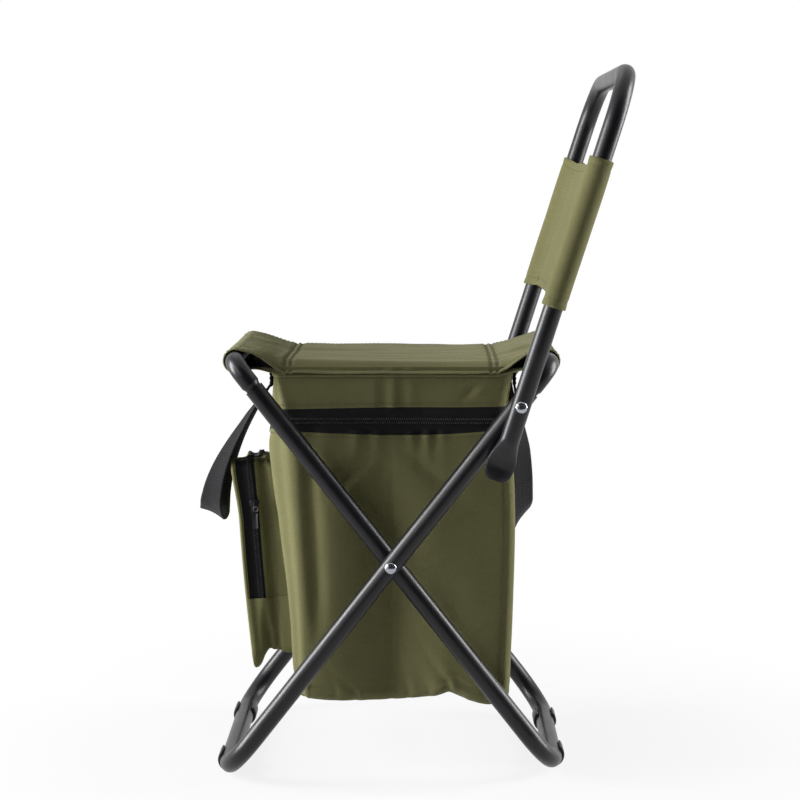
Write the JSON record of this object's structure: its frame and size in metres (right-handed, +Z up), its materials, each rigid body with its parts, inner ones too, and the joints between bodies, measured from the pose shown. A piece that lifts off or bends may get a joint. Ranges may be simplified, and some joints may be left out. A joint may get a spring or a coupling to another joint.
{
  "type": "folding cooler stool",
  "caption": "Folding stool on crossed steel tube legs, with a cloth sling seat, a hinged tube backrest and a zipped cooler bag with a front pocket slung under the seat.",
  "frame": {"origin": "middle of the stool's box, on the floor that its feet stand on", "axes": "+Z up, -X towards the front pocket, +X towards the backrest, Y across the seat"},
  "size_m": [0.3618, 0.3018, 0.5973],
  "materials": {
    "frame_paint": "satin black powder coat",
    "rivet_zinc": "bright zinc",
    "foot_plastic": "moulded, dull",
    "olive_cloth": "woven polyester with a diagonal twill, olive",
    "black_webbing": "ribbed woven webbing",
    "zip_tape": "woven tape with a moulded coil",
    "foil_foam": "foil film on soft foam",
    "zip_metal": "plated die casting"
  },
  "bodies": {
    "outer_frame": {"outer_leg_tube": "frame_paint", "rear_seat_bar": "frame_paint", "rear_seat_sleeve": "olive_cloth", "front_foot_left": "foot_plastic", "front_foot_right": "foot_plastic", "leg_rivet_left": "rivet_zinc", "leg_rivet_right": "rivet_zinc", "leg_washer_left": "foot_plastic", "leg_washer_right": "foot_plastic", "backrest_rivet_left": "rivet_zinc", "backrest_rivet_right": "rivet_zinc", "backrest_washer_left": "foot_plastic", "backrest_washer_right": "foot_plastic"},
    "inner_frame": {"inner_leg_tube": "frame_paint", "front_seat_bar": "frame_paint", "front_seat_sleeve": "olive_cloth", "rear_foot_left": "foot_plastic", "rear_foot_right": "foot_plastic"},
    "backrest": {"backrest_tube": "frame_paint", "backrest_panel": "olive_cloth"},
    "bag_top": {"seat_sling": "olive_cloth", "bag_skirt": "olive_cloth", "lid_pad": "foil_foam", "main_zip_upper_tape": "zip_tape", "front_handle_tab_left": "black_webbing", "front_handle_tab_right": "black_webbing"},
    "bag_body": {"bag_front_panel": "olive_cloth", "bag_rear_panel": "olive_cloth", "bag_left_panel": "olive_cloth", "bag_right_panel": "olive_cloth", "bag_bottom_panel": "olive_cloth", "cooler_liner": "foil_foam", "main_zip_lower_tape": "zip_tape", "pocket_gusset": "olive_cloth", "pocket_zip_tape": "zip_tape", "pocket_lower_band": "olive_cloth", "pocket_front": "olive_cloth", "rear_handle_tab_left": "black_webbing", "rear_handle_tab_right": "black_webbing"},
    "main_zip_runner": {"main_zip_slider": "zip_metal", "main_zip_pull": "zip_metal"},
    "pocket_zip_runner": {"pocket_zip_slider": "zip_metal", "pocket_zip_pull": "zip_metal"},
    "front_handle_loop": {"front_handle": "black_webbing"},
    "rear_handle_loop": {"rear_handle": "black_webbing"}
  },
  "joints": [
    {"name": "x_fold", "type": "hinge", "parent": "outer_frame", "child": "inner_frame", "pos_m": [-0.01718, 0, 0.18735], "axis": [0, -1, 0], "range_deg": [-66, 0], "deforming": ["seat_sling"]},
    {"name": "bag_follow", "type": "hinge", "parent": "outer_frame", "child": "bag_top", "pos_m": [-0.01718, 0, 0.18735], "axis": [0, -1, 0], "range_deg": [-33, 0]},
    {"name": "backrest_fold", "type": "hinge", "parent": "outer_frame", "child": "backrest", "pos_m": [0.08822, 0, 0.32246], "axis": [0, -1, 0], "range_deg": [0, 75]},
    {"name": "cooler_mouth", "type": "hinge", "parent": "bag_top", "child": "bag_body", "pos_m": [0.08522, 0, 0.3452], "axis": [0, -1, 0], "range_deg": [0, 10]},
    {"name": "main_zip_slide", "type": "slide", "parent": "bag_top", "child": "main_zip_runner", "axis": [-1, 0, 0], "range_m": [0, 0.17]},
    {"name": "pocket_zip_slide", "type": "slide", "parent": "bag_body", "child": "pocket_zip_runner", "axis": [-0.0752, 0, 0.9972], "range_m": [-0.076, 0.036]},
    {"name": "front_handle_swing", "type": "hinge", "parent": "bag_top", "child": "front_handle_loop", "pos_m": [-0.11938, 0, 0.3297], "axis": [0, 1, 0], "range_deg": [0, 60]},
    {"name": "rear_handle_swing", "type": "hinge", "parent": "bag_body", "child": "rear_handle_loop", "pos_m": [0.08702, 0, 0.3297], "axis": [0, -1, 0], "range_deg": [0, 60]}
  ],
  "couplings": [
    {"joint": "bag_follow", "follows": "x_fold", "ratio": 0.5}
  ]
}
